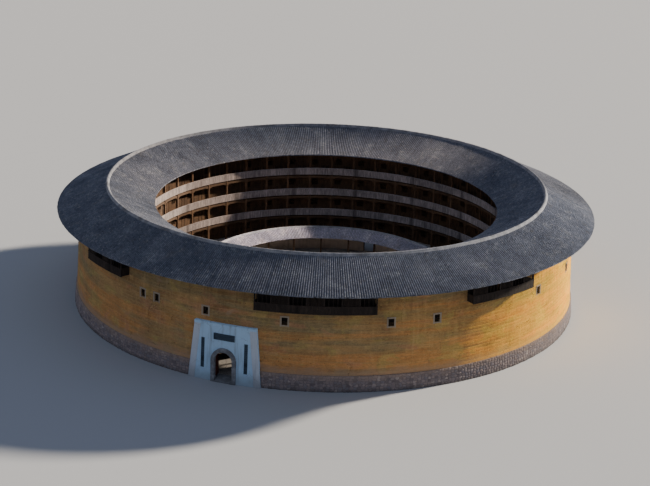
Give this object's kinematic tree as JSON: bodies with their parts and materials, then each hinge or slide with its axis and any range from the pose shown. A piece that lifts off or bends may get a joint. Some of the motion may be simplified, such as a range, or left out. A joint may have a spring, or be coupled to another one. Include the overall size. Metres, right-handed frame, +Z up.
{
  "type": "tulou roundhouse, 1:2 scale model",
  "caption": "Round earthen tulou with tiled ring roof, rammed-earth wall on a stone plinth, plastered gate, timber galleries round a courtyard and a low inner ring; scale model.",
  "frame": {"origin": "centre of the courtyard at ground level", "axes": "+Z up, gate faces -Y, +X to the right of someone who looks at the gate"},
  "size_m": [35.48, 35.48, 7.96],
  "materials": {
    "rammed_earth": "rammed earth with course lines, matt, weathered",
    "rubble_stone": "rubble river stone in mortar, matt",
    "paving_stone": "worn stone and packed earth, matt",
    "gate_plaster": "cool white lime plaster, matt, stained at the foot",
    "dressed_stone": "dressed granite, fine tooled",
    "clay_tile": "grey clay tiles in radial rows, matt, weathered in patches",
    "ridge_mortar": "pale mortar over ridge tiles, matt",
    "gallery_wood": "weathered brown timber",
    "pale_wood": "bleached grey boards",
    "dark_wood": "very dark weathered timber",
    "dark_board": "bare dark lacquered board",
    "gate_wood": "maroon painted planks, worn",
    "lime_plaster": "off-white lime plaster, stained"
  },
  "bodies": {
    "root": {"stone_plinth_1": "rubble_stone", "stone_plinth_2": "rubble_stone", "stone_plinth_3": "rubble_stone", "stone_plinth_4": "rubble_stone", "stone_plinth_5": "rubble_stone", "stone_plinth_6": "rubble_stone", "earth_wall_1": "rammed_earth", "earth_wall_2": "rammed_earth", "earth_wall_3": "rammed_earth", "earth_wall_4": "rammed_earth", "earth_wall_5": "rammed_earth", "earth_wall_6": "rammed_earth", "earth_wall_7": "rammed_earth", "earth_wall_8": "rammed_earth", "earth_wall_9": "rammed_earth", "earth_wall_10": "rammed_earth", "earth_wall_11": "rammed_earth", "earth_wall_12": "rammed_earth", "gate_wall_left": "rammed_earth", "gate_wall_right": "rammed_earth", "gate_wall_over": "rammed_earth", "gate_plaster": "gate_plaster", "gate_arch": "dressed_stone", "gate_threshold": "dressed_stone", "name_board": "dark_board", "ground_floor": "paving_stone", "gallery_floor_2": "gallery_wood", "gallery_parapet_2": "pale_wood", "gallery_floor_3": "gallery_wood", "gallery_parapet_3": "pale_wood", "gallery_floor_4": "gallery_wood", "gallery_parapet_4": "pale_wood", "gallery_frame_1": "gallery_wood", "gallery_frame_2": "gallery_wood", "gallery_frame_3": "gallery_wood", "gallery_frame_4": "gallery_wood", "gallery_frame_5": "gallery_wood", "gallery_frame_6": "gallery_wood", "room_front_1": "gallery_wood", "room_front_2": "gallery_wood", "room_front_3": "gallery_wood", "room_front_4": "gallery_wood", "roof_outer_slope": "clay_tile", "roof_inner_slope": "clay_tile", "roof_ridge": "ridge_mortar", "eave_frame_outer": "gallery_wood", "eave_frame_inner": "gallery_wood", "lookout_1": "dark_wood", "lookout_2": "dark_wood", "lookout_3": "dark_wood", "lookout_4": "dark_wood", "lookout_5": "dark_wood", "lookout_6": "dark_wood", "lookout_7": "dark_wood", "low_ring_base": "paving_stone", "low_ring_wall": "lime_plaster", "low_ring_posts": "gallery_wood", "low_ring_roof": "clay_tile"},
    "left_leaf": {"gate_leaf_left": "gate_wood"},
    "right_leaf": {"gate_leaf_right": "gate_wood"}
  },
  "joints": [
    {"name": "left_leaf_hinge", "type": "hinge", "parent": "root", "child": "left_leaf", "pos_m": [-0.745, -16.48, 0.1], "axis": [0, 0, -1], "range_deg": [0, 90]},
    {"name": "right_leaf_hinge", "type": "hinge", "parent": "root", "child": "right_leaf", "pos_m": [0.745, -16.48, 0.1], "axis": [0, 0, 1], "range_deg": [0, 90]}
  ]
}
